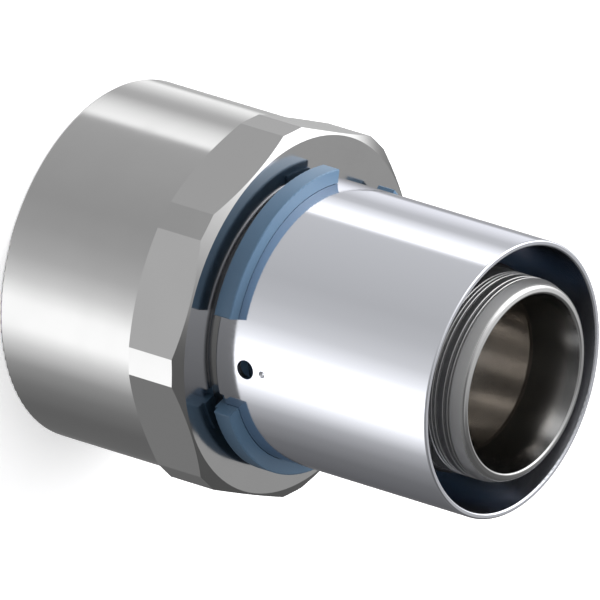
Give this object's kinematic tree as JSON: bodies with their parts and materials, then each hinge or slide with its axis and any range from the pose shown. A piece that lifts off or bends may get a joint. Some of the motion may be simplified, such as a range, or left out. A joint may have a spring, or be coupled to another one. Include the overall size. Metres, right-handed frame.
{
  "type": "pipe press connector",
  "caption": "Press connector for multilayer pipe: a brass body with an octagon and a female pipe thread, a steel press sleeve and a blue stop ring.",
  "frame": {"origin": "centre of the flat end face of the threaded socket, which the part stands on", "axes": "+Z along the common axis of thread, waterway and sleeve, from the threaded end towards the pipe's mouth; +X and +Y face two neighbouring flats of the octagon"},
  "size_m": [0.057, 0.057, 0.0791],
  "materials": {
    "plated_brass": "turned and tin-plated, satin",
    "stainless_steel": "drawn tube, smooth satin",
    "blue_plastic": "moulded, semi-matt",
    "black_rubber": "matt"
  },
  "bodies": {
    "root": {"body": "plated_brass", "press_sleeve": "stainless_steel", "stop_ring": "blue_plastic", "o_ring_front": "black_rubber", "o_ring_rear": "black_rubber"}
  },
  "joints": []
}
